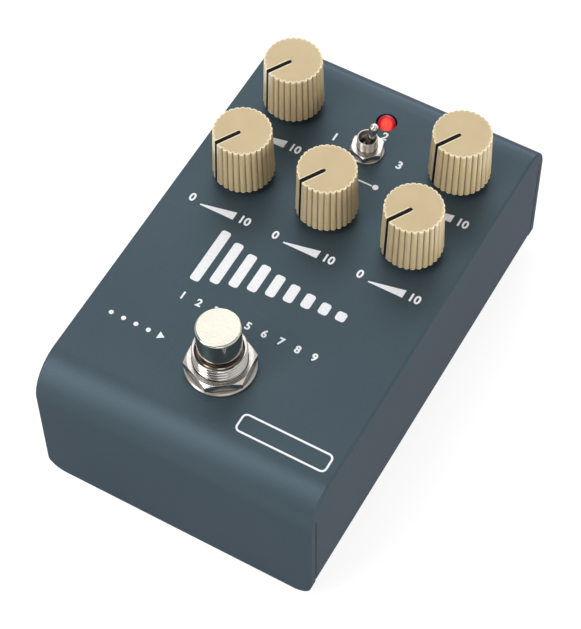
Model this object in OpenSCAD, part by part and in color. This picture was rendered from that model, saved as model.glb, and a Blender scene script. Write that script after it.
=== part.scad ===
// Compact delay pedal: a folded sheet case with five knobs, a toggle switch, a footswitch,
// a status lamp and rear sockets, and the boards and controls inside it.
// Millimetres. Z is up and the front wall faces -Y. The origin is on the floor, under the
// middle of the whole part's box.

/* [Case] */
// Width of the case across its side walls
case_w = 67.5; // [61:0.5:80]
// Length of the case from its front wall to its rear wall
case_l = 108.6; // [104:0.2:125]
// Height of the front wall from its lower edge to the top panel
case_h = 38; // [37:0.5:48]
// Thickness of the folded sheet
sheet_t = 2; // [1.5:0.1:2.5]
// Outside radius of the bend from the top panel to the front wall
front_bend_r = 9; // [6:0.5:11]
// Outside radius of the bend from the top panel to the rear wall
rear_bend_r = 8; // [5:0.5:9]
// Outside radius of the folds down to the side walls, and of the sheet's edges at the corners
edge_r = 0.5; // [0.3:0.05:1]
// Width of the open seams at the upright corners
seam_gap = 0.3; // [0.2:0.05:0.6]
// How far the open seams run up past the start of the bends
seam_rise = 1.5; // [0:0.5:2]
// Height of the side walls' lower edges above the front wall's lower edge
side_rise = 4.6; // [3:0.1:5.5]
// Rounding of the lower corners of the front and rear walls
wall_corner_r = 4.5; // [2:0.5:6]
// Clearance round each bush or nose that passes through the sheet
hole_gap = 0.15; // [0.1:0.05:0.3]

/* [Base] */
// Thickness of the bottom plate
plate_t = 2; // [1.5:0.1:3]
// Gap between the bottom plate and the walls round it
plate_gap = 0.3; // [0.2:0.05:0.6]
// Corner radius of the bottom plate
plate_corner_r = 2; // [1:0.5:4]
// Distance of the bottom screws from the side faces of the case
screw_in_x = 7; // [6:0.5:9]
// Distance of the bottom screws from the front and rear faces of the case
screw_in_y = 8.5; // [8:0.5:10]
// Thread radius of the bottom screws
screw_r = 1.5; // [1.25:0.05:1.75]
// Head radius of the bottom screws
screw_head_r = 2.9; // [2.6:0.1:3.2]
// Width across the flats of the hexagonal socket in a screw head
screw_socket_af = 2; // [1.5:0.1:2.5]
// Depth of the hexagonal socket in a screw head
screw_socket_depth = 1.2; // [0.8:0.1:1.4]
// Clearance round the bottom screws
screw_gap = 0.1; // [0.05:0.05:0.2]
// Length of each folded tab that takes a bottom screw
tab_l = 11; // [9:0.5:12]
// Reach of each folded tab from the side wall inwards
tab_w = 9; // [8.5:0.5:12]
// Corner radius of the folded tabs
tab_corner_r = 2; // [1:0.5:3]
// Radius of a rubber foot
foot_r = 5.5; // [4:0.5:6.5]
// Height of a rubber foot below the bottom plate
foot_h = 6.4; // [6:0.1:9]
// Rounding of the lower edge of a rubber foot
foot_edge_r = 1; // [0.5:0.1:1.5]
// Distance of the feet from the side faces of the case
foot_in_x = 12; // [10:0.5:16]
// Distance of the feet from the front and rear faces of the case
foot_in_y = 20; // [19:0.5:26]

/* [Knobs] */
// Radius of a knob at its lower edge
knob_base_r = 7; // [6.6:0.1:8]
// Radius of a knob at its top face
knob_top_r = 6.6; // [6:0.1:7.5]
// Height of a knob
knob_h = 13.3; // [12.5:0.1:16]
// Clearance between a knob's lower edge and the nut below it
knob_clear = 0.4; // [0.3:0.1:1]
// Number of ribs round a knob
rib_count = 30; // [24:1:36]
// Radius of the rounded back of a rib
rib_r = 0.72; // [0.6:0.02:0.9]
// Depth of the grooves between the ribs
groove_depth = 0.44; // [0.3:0.02:0.55]
// Rounding of a knob's top rim
knob_rim_r = 0.25; // [0.2:0.05:0.8]
// Width of the plain land that carries the pointer
land_w = 2.4; // [1.6:0.1:4]
// Width of the pointer line
pointer_w = 0.9; // [0.5:0.05:1.2]
// Depth of the pointer's groove
pointer_depth = 0.5; // [0.3:0.05:0.7]
// How far the pointer's face lies below the knob's face
pointer_sink = 0.06; // [0.02:0.02:0.15]
// Clearance between the pointer and its groove
pointer_gap = 0.02; // [0.01:0.01:0.05]
// Distance of the pointer's inner end from the knob's axis
pointer_start = 0.9; // [0.5:0.1:3]
// Angle of the pointer at the lowest setting, from the front towards the left
pointer_rest = 31; // [20:1:45]
// Radius of the hollow under a knob
knob_hollow_r = 5.2; // [4.8:0.1:5.4]
// Depth of the hollow under a knob
knob_hollow_h = 2; // [1.8:0.1:3]
// Distance between neighbouring knobs across the case
knob_pitch = 21.1; // [17:0.1:24]
// Distance of the rear row of knobs from the rear face of the case
rear_row_in = 18.3; // [16:0.1:20]
// Distance between the two rows of knobs
row_pitch = 22.6; // [19:0.1:25]

/* [Potentiometers] */
// Radius of a potentiometer's shaft
shaft_r = 3; // [2.5:0.1:3.2]
// Depth of the flat on the shaft
shaft_flat = 1.5; // [1:0.1:2]
// Height of the shaft's end above the top panel
shaft_rise = 12; // [9:0.5:12.5]
// Running clearance of the shaft in its bush
shaft_gap = 0.05; // [0.02:0.01:0.1]
// Clearance of the knob on its shaft
knob_fit = 0.04; // [0.02:0.01:0.1]
// Radius of the threaded bush
pot_bush_r = 3.6; // [3.4:0.1:4.2]
// Length of thread that shows above a potentiometer's nut
pot_thread_show = 1; // [0.5:0.1:1.4]
// Width of a potentiometer's body
pot_w = 9.8; // [9:0.1:12]
// Length of a potentiometer's body
pot_l = 11.4; // [9:0.1:13]
// Height of a potentiometer's body, from the board to the top panel
pot_h = 6.8; // [6:0.1:8]
// Corner radius of a potentiometer's body
pot_corner_r = 1; // [0.5:0.1:2]
// Thickness of the floor under the shaft in a potentiometer's body
pot_floor = 1.5; // [1:0.1:2.5]
// Width across the flats of a potentiometer's nut
pot_nut_af = 10; // [9:0.1:11]
// Thickness of a potentiometer's nut
pot_nut_t = 1.2; // [1:0.1:2]
// Radius of a potentiometer's washer
pot_washer_r = 5.4; // [5:0.1:6]
// Thickness of a potentiometer's washer
pot_washer_t = 0.4; // [0.3:0.05:0.8]
// Clearance of the nuts and washers on their threads
thread_gap = 0.06; // [0.03:0.01:0.12]

/* [Toggle switch] */
// Distance of the toggle switch from the rear face of the case
toggle_in = 22.3; // [21.5:0.1:26]
// Radius of the toggle's threaded bush
toggle_bush_r = 2.35; // [2.25:0.05:3]
// Height of the toggle's bush above the top panel
toggle_bush_rise = 5.05; // [4.4:0.05:6]
// Radius of the opening in the toggle's bush
toggle_bore_r = 1.75; // [1.65:0.05:1.9]
// Chamfer on the rim of the toggle's bush
toggle_rim = 0.2; // [0.1:0.05:0.3]
// Width across the flats of the toggle's nut
toggle_nut_af = 6.9; // [6.2:0.1:8]
// Thickness of the toggle's nut
toggle_nut_t = 1.7; // [1:0.1:2.2]
// Angle that the toggle's nut is left at
toggle_nut_turn = 45; // [0:1:60]
// Radius of the toggle's washer
toggle_washer_r = 3.9; // [3.6:0.1:4.5]
// Thickness of the toggle's washer
toggle_washer_t = 0.5; // [0.3:0.05:0.8]
// Width of the toggle's body along its throw
toggle_w = 8.4; // [7.5:0.1:11]
// Length of the toggle's body across its throw
toggle_l = 6.2; // [5:0.1:8]
// Corner radius of the toggle's body
toggle_corner_r = 0.6; // [0.3:0.1:1.5]
// Thickness of the metal frame on the toggle's body
toggle_frame_t = 0.8; // [0.6:0.1:1.2]
// Height of the upright lever's tip above the top panel
lever_rise = 10.5; // [8.5:0.1:12]
// Radius of the lever's rounded tip
lever_tip_r = 1.05; // [0.9:0.05:1.4]
// Radius of the lever's neck
lever_neck_r = 0.75; // [0.6:0.05:0.85]
// Radius of the lever's foot inside the switch
lever_foot_r = 0.55; // [0.4:0.05:0.6]
// Length of the lever's foot below its pivot
lever_foot_l = 6; // [5.5:0.1:6.4]
// Clearance of the lever's ball in the bush
lever_gap = 0.25; // [0.2:0.05:0.35]
// Height of the lever's pivot above the top panel
pivot_rise = 1.5; // [1.2:0.1:2]
// Tilt of the lever to each side, and to the right at rest
lever_throw = 11; // [8:1:13]

/* [Footswitch] */
// Distance of the footswitch from the front face of the case
footswitch_in = 21.5; // [18:0.1:26]
// Radius of the footswitch's cap
cap_r = 4.9; // [4.5:0.05:5.1]
// Height of the footswitch's cap
cap_h = 6.75; // [5:0.05:8]
// Rounding of the cap's top edge
cap_edge_r = 0.4; // [0.2:0.05:0.8]
// Chamfer on the cap's lower edge
cap_chamfer = 0.25; // [0.1:0.05:0.5]
// Gap between the raised cap and the rim of the bush
cap_gap = 1.1; // [0.6:0.1:1.6]
// Travel of the footswitch
press_travel = 2.4; // [1.5:0.1:2.8]
// Radius of the stem under the cap
stem_r = 4; // [3.6:0.05:4.2]
// Running clearance of the stem in the bush
stem_gap = 0.06; // [0.03:0.01:0.1]
// Length of the stem below the top panel
stem_drop = 4; // [3:0.1:5]
// Radius of the footswitch's threaded bush
bush_r = 6; // [5.9:0.05:6.4]
// Height of the bush above the top panel
bush_rise = 7.4; // [6:0.1:9]
// Clearance of the cap in the mouth of the bush
mouth_gap = 0.2; // [0.15:0.05:0.3]
// Depth of the mouth of the bush
mouth_depth = 2.6; // [2.4:0.1:3.5]
// Depth of the funnel that leads into the mouth
funnel_depth = 1.3; // [0.8:0.1:2]
// Width of the flat lip round the funnel
bush_lip = 0.1; // [0.05:0.05:0.2]
// Chamfer on the outer edge of the bush's rim
bush_rim = 0.15; // [0.1:0.05:0.2]
// Width across the flats of the footswitch's nuts
foot_nut_af = 13.8; // [13.4:0.1:15]
// Thickness of the footswitch's nuts
foot_nut_t = 2.35; // [1.5:0.05:3]
// Angle that the outer nut is left at
foot_nut_turn = 36; // [0:1:60]
// Radius of the footswitch's washer
foot_washer_r = 7.85; // [7.6:0.05:9]
// Thickness of the footswitch's washer
foot_washer_t = 1.1; // [0.6:0.1:1.6]
// Width and length of the footswitch's body
switch_w = 15.6; // [14:0.1:17]
// Height of the footswitch's body
switch_h = 12; // [10.5:0.5:13]
// Corner radius of the footswitch's body
switch_corner_r = 1.5; // [0.5:0.1:3]
// Thickness of the walls of the footswitch's body
switch_wall = 1.6; // [1.2:0.1:2.4]
// Wire radius of the return spring
spring_wire_r = 0.35; // [0.25:0.05:0.45]
// Number of turns of the return spring
spring_turns = 5; // [3:1:6]
// Clearance round the return spring
spring_gap = 0.3; // [0.2:0.05:0.5]
// Length of the footswitch's solder lugs
lug_l = 4; // [3:0.5:4.5]
// Width of a solder lug
lug_w = 2; // [1.5:0.1:2.5]
// Thickness of a solder lug
lug_t = 0.8; // [0.5:0.1:1]
// Distance between the footswitch's solder lugs
lug_pitch = 6; // [4:0.5:8]
// Radius of the insulated wires of the switch lead
lead_r = 0.7; // [0.5:0.05:0.9]
// How far behind the main board's front edge the lead's wires reach it
lead_in = 4; // [2.5:0.5:6]
// How steeply the lead's wires leave the lugs
lead_drop = 6; // [4:0.5:8]
// How steeply the lead's wires rise to the main board
lead_rise = 14; // [10:0.5:16]

/* [Lamp] */
// Distance of the lamp from the rear face of the case
lamp_in = 13; // [12:0.1:15]
// Radius of the lamp's domed lens
lamp_r = 2.1; // [1.5:0.05:2.5]
// Height of the lens above the top panel
lamp_rise = 1.45; // [0.5:0.05:2]
// Clearance of the lens in its hole
lamp_gap = 0.35; // [0.1:0.05:0.4]
// Thickness of the flange at the foot of the lens
lamp_flange_t = 1; // [0.6:0.1:1.5]
// Radius of the holes for the lamp's wires
lamp_lead_r = 0.4; // [0.3:0.05:0.5]
// Height of the lamp's spacer above the board
lamp_spacer_h = 2.5; // [1.5:0.1:3.5]

/* [Rear sockets] */
// Width of a jack's housing
jack_w = 15; // [13.5:0.1:16]
// Length of a jack's housing
jack_l = 26; // [24:0.5:28]
// Height of a jack's housing
jack_h = 12; // [11:0.1:13]
// Space between the housings of the two output jacks
jack_space = 1.4; // [0.6:0.1:2]
// Space between the outer housings and the side walls
jack_side_gap = 0.8; // [0.5:0.1:1.5]
// Space between the power inlet's housing and the jacks beside it
inlet_space = 2.8; // [1.5:0.1:4]
// Corner radius of the housings on the jack board
housing_corner_r = 0.8; // [0.4:0.1:1.5]
// Radius of a jack's plug bore
jack_bore_r = 3.2; // [3.18:0.01:3.3]
// Radius of a jack's threaded nose
jack_nose_r = 4.5; // [4.2:0.1:5]
// Length of a jack's plain barrel inside the rear wall
jack_barrel_l = 7; // [5:0.5:9]
// Thickness of the walls of a jack's contact chamber
jack_wall = 1.6; // [1.2:0.1:2]
// Width across the flats of a jack's nut
jack_nut_af = 12; // [11:0.1:13]
// Thickness of a jack's nut
jack_nut_t = 2.2; // [1.5:0.1:3]
// Radius of a jack's washer
jack_washer_r = 6.4; // [5.8:0.1:7]
// Thickness of a jack's washer
jack_washer_t = 0.6; // [0.4:0.1:1]
// Length of thread that shows behind a jack's nut
jack_thread_show = 0.8; // [0.4:0.1:1.5]
// Thickness of a contact spring
contact_t = 0.4; // [0.3:0.05:0.5]
// Width of a contact spring
contact_w = 3; // [2:0.1:4]
// How far a contact spring dips into the plug's bore
contact_dip = 0.6; // [0.3:0.1:1]
// Width of the power inlet's housing
inlet_w = 9.4; // [9:0.1:10.5]
// Length of the power inlet's housing
inlet_l = 14; // [12:0.5:16]
// Radius of the power inlet's round nose
inlet_nose_r = 4.2; // [3.8:0.1:4.6]
// Radius of the power inlet's bore
inlet_bore_r = 2.9; // [2.75:0.05:3.2]
// Depth of the power inlet's bore
inlet_depth = 9.5; // [8.5:0.1:11]
// Radius of the power inlet's centre pin
inlet_pin_r = 1.05; // [1:0.05:1.25]
// Radius of the centre pin's root in the housing
inlet_root_r = 1.6; // [1.4:0.05:1.9]
// Chamfer on the centre pin's tip
inlet_pin_chamfer = 0.3; // [0.1:0.05:0.5]
// How far the centre pin stops inside the mouth of the inlet
inlet_pin_back = 0.8; // [0.4:0.1:1.5]

/* [Boards] */
// Thickness of the circuit boards
board_t = 1.6; // [1.2:0.1:2]
// Gap between the main board and the side walls
board_side_gap = 1; // [0.6:0.1:2]
// Distance of the main board's rear edge from the rear face of the case
board_rear_in = 6; // [4:0.5:9]
// Reach of the main board in front of the front knobs
board_front_reach = 11; // [9:0.5:13]
// Corner radius of the circuit boards
board_corner_r = 2; // [1:0.5:4]
// Gap between the screw tabs and the jack board
jack_board_gap = 0.5; // [0.3:0.1:1]
// Reach of the jack board in front of the jack housings
jack_board_reach = 5; // [4:0.5:8]
// Space between the parts on a board
part_space = 1; // [0.5:0.1:2]
// Width of the processor's package
chip_w = 14; // [10:0.5:18]
// Width of a small chip's package
small_chip_w = 6; // [4:0.5:8]
// Length of a small chip's package
small_chip_l = 10; // [6:0.5:12]
// Thickness of the chips' packages
chip_t = 1.4; // [1:0.1:2]
// Corner radius of the chips' packages
chip_corner_r = 0.4; // [0.2:0.1:0.8]
// Radius of a capacitor
capacitor_r = 3.15; // [2:0.05:4]
// Height of a capacitor
capacitor_h = 7; // [5:0.5:9]
// Depth of the crimp round a capacitor, and of the chamfer at its end
capacitor_crimp = 0.25; // [0.1:0.05:0.4]
// Number of pins in the header between the boards
header_pins = 8; // [4:1:10]
// Distance between the header's pins
header_pitch = 2.54; // [2:0.01:2.54]
// Width of a header pin
header_pin_w = 0.64; // [0.5:0.02:0.7]
// Width and height of the header's plastic strips
header_strip_w = 2.5; // [2.2:0.1:3]
// Clearance of the pins in the header's strips
header_gap = 0.03; // [0.02:0.01:0.06]

/* [Hidden] */
$fn = 64;
// How far a cutting tool runs past the face that it cuts
past = 1;
// How far joined shapes run into each other
join = 0.2;
// Facets of a rib's rounded back and of a knob's rim, and round a wire
rib_fn = 24;
rim_fn = 5;
wire_fn = 8;
// Steps along one turn of the spring, and along a wire of the lead
turn_steps = 12;
lead_steps = 14;
// Where a nut's corner chamfer starts, as a share of half its width, and the chamfer's slope
nut_chamfer_start = 1.03;
nut_chamfer_angle = 30;
// Chamfer on a washer's edge, as a share of its thickness
washer_chamfer = 0.3;

// Heights of the main faces
plate_low_z = foot_h;
plate_top_z = plate_low_z + plate_t;
wall_low_z = plate_low_z - side_rise;
panel_z = wall_low_z + case_h;
panel_under_z = panel_z - sheet_t;
board_top_z = panel_under_z - pot_h;
board_low_z = board_top_z - board_t;
tab_top_z = plate_top_z + sheet_t;
jack_board_low_z = tab_top_z + jack_board_gap;
jack_board_top_z = jack_board_low_z + board_t;
jack_z = jack_board_top_z + jack_h / 2;

// The jacks' thread ends set how far the part reaches behind its rear wall
rear_reach = jack_washer_t + jack_nut_t + jack_thread_show;
front_y = -(case_l + rear_reach) / 2;
rear_y = front_y + case_l;
mid_y = (front_y + rear_y) / 2;
rear_in_y = rear_y - sheet_t;
inner_half_w = case_w / 2 - sheet_t;
fold_front_y = front_y + front_bend_r;
fold_rear_y = rear_y - rear_bend_r;
front_seam_z = panel_z - front_bend_r + seam_rise;
rear_seam_z = panel_z - rear_bend_r + seam_rise;

// Places of the controls on the top panel
rear_row_y = rear_y - rear_row_in;
front_row_y = rear_row_y - row_pitch;
toggle_y = rear_y - toggle_in;
lamp_y = rear_y - lamp_in;
footswitch_y = front_y + footswitch_in;
knob_gap = pot_washer_t + pot_nut_t + knob_clear;
knob_low_z = panel_z + knob_gap;
pot_bush_rise = pot_washer_t + pot_nut_t + pot_thread_show;
knob_bore_h = shaft_rise - knob_gap + 2 * knob_fit;

// Knob places, one for each name in the same order
PLACES = ["rear_left", "rear_right", "front_left", "front_middle", "front_right"];
place_xy = [
    [-knob_pitch, rear_row_y], [knob_pitch, rear_row_y],
    [-knob_pitch, front_row_y], [0, front_row_y], [knob_pitch, front_row_y]
];

// Places of the sockets across the rear wall: the width that their housings leave free is
// shared out between the spaces, in proportion to the spaces' own sizes
free_w = 2 * inner_half_w - 3 * jack_w - inlet_w;
free_share = free_w / (2 * jack_side_gap + jack_space + 2 * inlet_space);
input_x = inner_half_w - jack_side_gap * free_share - jack_w / 2;
output_right_x = -input_x;
output_left_x = output_right_x + jack_w + jack_space * free_share;
inlet_x = input_x - (jack_w + inlet_w) / 2 - inlet_space * free_share;
jack_xs = [input_x, output_left_x, output_right_x];
jack_end_y = rear_in_y - jack_l;
jack_chamber_y = jack_end_y + jack_wall;
jack_chamber_l = jack_l - jack_barrel_l - jack_wall;
jack_mouth_y = rear_y + rear_reach;

// Stack of the footswitch
cap_low_z = panel_z + bush_rise + cap_gap;
stem_low_z = panel_z - stem_drop;
switch_top_z = panel_under_z - foot_nut_t;
switch_low_z = switch_top_z - switch_h;
spring_low_z = switch_low_z + switch_wall;
spring_r = stem_r - spring_wire_r - spring_gap;
lug_low_z = switch_low_z - lug_l;

// Toggle switch
pivot_z = panel_z + pivot_rise;
toggle_body_top_z = panel_under_z - toggle_frame_t;
lever_swing = lever_foot_l * sin(lever_throw) + lever_foot_r + lever_gap;
ball_r = toggle_bore_r - lever_gap;

// Boards and what is on them
board_front_y = front_row_y - board_front_reach;
board_rear_y = rear_y - board_rear_in;
header_y = jack_end_y - jack_board_reach / 2;
chip_y = header_y - header_strip_w / 2 - part_space - chip_w / 2;
capacitor_y = front_row_y - pot_l / 2;
small_chip_x = chip_w / 2 + part_space + small_chip_w / 2;

// Square with round corners, centred on the origin
module rounded_rect(w, l, r) {
    square([w - 2 * r, l], center = true);
    square([w, l - 2 * r], center = true);
    for (x = [-1, 1], y = [-1, 1])
        translate([x * (w / 2 - r), y * (l / 2 - r)]) circle(r);
}

// Solid turned about Z from the half of a section that lies at positive X
module turned(reach) {
    rotate_extrude() intersection() {
        children();
        translate([0, -reach]) square([reach, 2 * reach]);
    }
}

// Section drawn in Y and Z, made into a bar of width w along X
module along_x(w) {
    rotate([90, 0, 90]) linear_extrude(w, center = true) children();
}

// Section drawn in X and Z, made into a bar from y_low to y_high
module along_y(y_low, y_high) {
    translate([0, y_high, 0]) rotate([90, 0, 0]) linear_extrude(y_high - y_low) children();
}

// Cylinder along Y from y_low to y_high
module rod_y(r, y_low, y_high) {
    translate([0, y_low, 0]) rotate([-90, 0, 0]) cylinder(r = r, h = y_high - y_low);
}

// What is cut off to round a corner at the origin that points to +X and +Y
module corner_cut(r) {
    difference() {
        translate([-r, -r]) square(r + past);
        translate([-r, -r]) circle(r);
    }
}

// Copies on both sides of the case
module both_sides() {
    children();
    mirror([1, 0, 0]) children();
}

// Copies at the four corners, at the given distances from the side, front and rear faces
module four_corners(in_x, in_y) {
    for (x = [-1, 1], y = [-1, 1])
        translate([x * (case_w / 2 - in_x), mid_y + y * (case_l / 2 - in_y), 0]) children();
}

// Hexagonal nut with chamfered corners, standing on its own lower face
module hex_nut(af, t, bore_r) {
    corner_r = af / 2 / cos(30);
    start_r = af / 2 * nut_chamfer_start;
    drop = (corner_r - start_r) * tan(nut_chamfer_angle);
    difference() {
        intersection() {
            cylinder(r = corner_r, h = t, $fn = 6);
            turned(2 * corner_r) polygon([
                [0, 0], [start_r, 0], [corner_r, drop],
                [corner_r, t - drop], [start_r, t], [0, t]
            ]);
        }
        translate([0, 0, -past]) cylinder(r = bore_r, h = t + 2 * past);
    }
}

// Flat ring standing on its own lower face, with its upper outer edge chamfered
module washer(r, bore_r, t) {
    c = t * washer_chamfer;
    rotate_extrude() polygon([[bore_r, 0], [r, 0], [r, t - c], [r - c, t], [bore_r, t]]);
}

// Side outline of the wrapped sheet in Y and Z, drawn in by inset and starting at low_z
module side_outline(inset, low_z) {
    difference() {
        translate([front_y + inset, low_z])
            square([case_l - 2 * inset, panel_z - inset - low_z]);
        translate([fold_front_y, panel_z - front_bend_r]) difference() {
            translate([-front_bend_r - past, 0]) square(front_bend_r + past);
            circle(front_bend_r - inset);
        }
        translate([fold_rear_y, panel_z - rear_bend_r]) difference() {
            square(rear_bend_r + past);
            circle(rear_bend_r - inset);
        }
    }
}

// Front wall, top panel and rear wall, bent from one strip
module wrapped_sheet() {
    along_x(case_w) difference() {
        side_outline(0, wall_low_z);
        side_outline(sheet_t, wall_low_z - past);
    }
}

// Right side wall, folded down from the top panel: nested inside the front and rear walls along
// the open seams, and closed to the bends above them
module side_wall() {
    translate([case_w / 2 - sheet_t / 2, 0, 0]) along_x(sheet_t) {
        side_outline(sheet_t + seam_gap, plate_low_z);
        for (half = [[front_y, front_seam_z], [mid_y, rear_seam_z]])
            intersection() {
                side_outline(sheet_t / 2, half[1]);
                translate(half) square([case_l / 2, case_h]);
            }
    }
}

// Tab folded in from a side wall, with the hole for a bottom screw
module screw_tab(y_side) {
    tab_y = mid_y + y_side * (case_l / 2 - screw_in_y);
    difference() {
        translate([inner_half_w - tab_w / 2 + join, tab_y, plate_top_z])
            linear_extrude(sheet_t) rounded_rect(tab_w + 2 * join, tab_l, tab_corner_r);
        translate([inner_half_w, tab_y - tab_l, plate_top_z - past])
            cube([sheet_t, 2 * tab_l, sheet_t + 2 * past]);
        translate([case_w / 2 - screw_in_x, tab_y, plate_top_z - past])
            cylinder(r = screw_r + screw_gap, h = sheet_t + 2 * past);
    }
    translate([inner_half_w - tab_corner_r, tab_y - tab_l / 2, plate_top_z])
        cube([tab_corner_r + join, tab_l, sheet_t]);
}

// What rounds the right edges of the sheet along the fold, the bends and the upright walls
module edge_cuts() {
    translate([case_w / 2, 0, panel_z]) along_y(fold_front_y, fold_rear_y) corner_cut(edge_r);
    bend_edge_cut(front_bend_r, fold_front_y, -1);
    bend_edge_cut(rear_bend_r, fold_rear_y, 1);
    wall_edge_cut(front_y, -1, front_bend_r);
    wall_edge_cut(rear_y, 1, rear_bend_r);
}

// Rounding of the right edge along a bend, side is -1 at the front and 1 at the rear
module bend_edge_cut(r, y, side) {
    translate([0, y, panel_z - r]) scale([1, side, 1]) rotate([0, 90, 0]) rotate([0, 0, 90])
        rotate_extrude(angle = 90) translate([r, case_w / 2]) corner_cut(edge_r);
}

// Rounding of the right upright edge of the front or rear wall, and of its lower corner
module wall_edge_cut(y, side, bend_r) {
    translate([case_w / 2, y, wall_low_z - past]) scale([1, side, 1])
        linear_extrude(case_h - bend_r + past) corner_cut(edge_r);
    translate([case_w / 2, y - side * sheet_t / 2, wall_low_z]) mirror([0, 0, 1])
        along_y(-sheet_t / 2 - seam_gap / 2, sheet_t / 2 + past) corner_cut(wall_corner_r);
}

// Holes for the controls in the top panel
module panel_holes() {
    h = sheet_t + 2 * past;
    for (p = place_xy)
        translate([p[0], p[1], panel_under_z - past]) cylinder(r = pot_bush_r + hole_gap, h = h);
    translate([0, toggle_y, panel_under_z - past]) cylinder(r = toggle_bush_r + hole_gap, h = h);
    translate([0, lamp_y, panel_under_z - past]) cylinder(r = lamp_r + lamp_gap, h = h);
    translate([0, footswitch_y, panel_under_z - past]) cylinder(r = bush_r + hole_gap, h = h);
}

// Holes for the sockets in the rear wall
module rear_holes() {
    for (x = jack_xs)
        translate([x, 0, jack_z]) rod_y(jack_nose_r + hole_gap, rear_in_y - past, rear_y + past);
    translate([inlet_x, 0, jack_z]) rod_y(inlet_nose_r + hole_gap, rear_in_y - past, rear_y + past);
}

module case_shell() {
    color([0.27, 0.34, 0.38]) difference() {
        union() {
            wrapped_sheet();
            both_sides() {
                side_wall();
                screw_tab(-1);
                screw_tab(1);
            }
        }
        both_sides() edge_cuts();
        panel_holes();
        rear_holes();
    }
}

module bottom_plate() {
    w = 2 * (inner_half_w - plate_gap);
    l = case_l - 2 * (sheet_t + plate_gap);
    color([0.25, 0.26, 0.28]) difference() {
        translate([0, mid_y, plate_low_z]) linear_extrude(plate_t) rounded_rect(w, l, plate_corner_r);
        four_corners(screw_in_x, screw_in_y) screw_form(screw_gap, past);
    }
}

// Countersunk screw, grown by gap all round, with its head's face run out by out
module screw_form(gap, out) {
    head = screw_head_r - screw_r;
    translate([0, 0, plate_low_z]) turned(2 * tab_top_z) polygon([
        [0, -out], [screw_head_r + gap, -out], [screw_head_r + gap, 0], [screw_r + gap, head],
        [screw_r + gap, plate_t + sheet_t + out], [0, plate_t + sheet_t + out]
    ]);
}

module bottom_screws() {
    color([0.62, 0.63, 0.65]) four_corners(screw_in_x, screw_in_y) difference() {
        screw_form(0, 0);
        translate([0, 0, plate_low_z - past])
            cylinder(r = screw_socket_af / 2 / cos(30), h = screw_socket_depth + past, $fn = 6);
    }
}

module rubber_feet() {
    flat_r = foot_r - foot_edge_r;
    color([0.09, 0.09, 0.09]) four_corners(foot_in_x, foot_in_y) turned(2 * foot_h) {
        translate([0, foot_edge_r]) square([foot_r, foot_h - foot_edge_r]);
        square([flat_r, foot_edge_r + join]);
        translate([flat_r, foot_edge_r]) circle(foot_edge_r);
    }
}

// A knob's place on the panel, turned so that +X is the way its pointer faces at rest
module at_knob(i) {
    translate([place_xy[i][0], place_xy[i][1], 0]) rotate([0, 0, -90 - pointer_rest]) children();
}

// Outline of a knob's lower edge: rounded ribs and grooves, and the land for the pointer
module ribbed_outline() {
    circle(knob_base_r - groove_depth, $fn = 2 * rib_count);
    for (i = [0 : rib_count - 1])
        rotate(i * 360 / rib_count) translate([knob_base_r - rib_r, 0]) circle(rib_r, $fn = rib_fn);
    intersection() {
        circle(knob_base_r, $fn = 8 * rib_count);
        translate([0, -land_w / 2]) square([2 * knob_base_r, land_w]);
    }
}

// Points of an arc, with the angle measured from +X
function arc(x, y, r, from, to, steps) =
    [for (i = [0 : steps]) let (a = from + (to - from) * i / steps) [x + r * cos(a), y + r * sin(a)]];

// Plain turned form of a knob, drawn in by inset, with its top rim rounded
module knob_blank(inset) {
    top = knob_h - inset;
    rim_x = knob_top_r - inset - knob_rim_r;
    rotate_extrude() polygon(concat(
        [[0, 0], [knob_base_r - inset, 0]],
        arc(rim_x, top - knob_rim_r, knob_rim_r, 0, 90, rim_fn),
        [[0, top]]
    ));
}

// Bar that the pointer's line is cut from
module pointer_bar(gap) {
    translate([pointer_start - gap, -pointer_w / 2 - gap, -past])
        cube([2 * knob_base_r, pointer_w + 2 * gap, knob_h + 2 * past]);
}

module knob() {
    color([0.85, 0.78, 0.62]) translate([0, 0, knob_low_z]) difference() {
        intersection() {
            linear_extrude(knob_h, scale = knob_top_r / knob_base_r) ribbed_outline();
            knob_blank(-pointer_gap);
        }
        difference() {
            pointer_bar(pointer_gap);
            knob_blank(pointer_depth);
        }
        translate([0, 0, -past]) cylinder(r = knob_hollow_r, h = knob_hollow_h + past);
        shaft_form(knob_fit, -past, knob_bore_h);
    }
}

module pointer() {
    color([0.06, 0.06, 0.06]) translate([0, 0, knob_low_z]) difference() {
        intersection() {
            pointer_bar(0);
            knob_blank(pointer_sink);
        }
        knob_blank(pointer_depth - pointer_gap);
    }
}

// Flatted end of a shaft, grown by gap, from z_low to z_high
module shaft_form(gap, z_low, z_high) {
    translate([0, 0, z_low]) linear_extrude(z_high - z_low) intersection() {
        circle(shaft_r + gap);
        translate([-2 * shaft_r, -2 * shaft_r])
            square([3 * shaft_r - shaft_flat + gap, 4 * shaft_r]);
    }
}

module shaft() {
    foot_z = board_top_z + pot_floor + shaft_gap;
    bush_z = panel_z + pot_bush_rise;
    color([0.75, 0.75, 0.77]) {
        translate([0, 0, foot_z]) cylinder(r = shaft_r, h = bush_z - foot_z);
        shaft_form(0, bush_z - join, panel_z + shaft_rise);
    }
}

// Potentiometer: a body on the main board and a threaded bush up through the panel
module pot() {
    color([0.2, 0.21, 0.22]) difference() {
        union() {
            translate([0, 0, board_top_z]) linear_extrude(pot_h) rounded_rect(pot_w, pot_l, pot_corner_r);
            translate([0, 0, panel_under_z - join])
                cylinder(r = pot_bush_r, h = sheet_t + pot_bush_rise + join);
        }
        translate([0, 0, board_top_z + pot_floor])
            cylinder(r = shaft_r + shaft_gap, h = case_h);
    }
}

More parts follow.
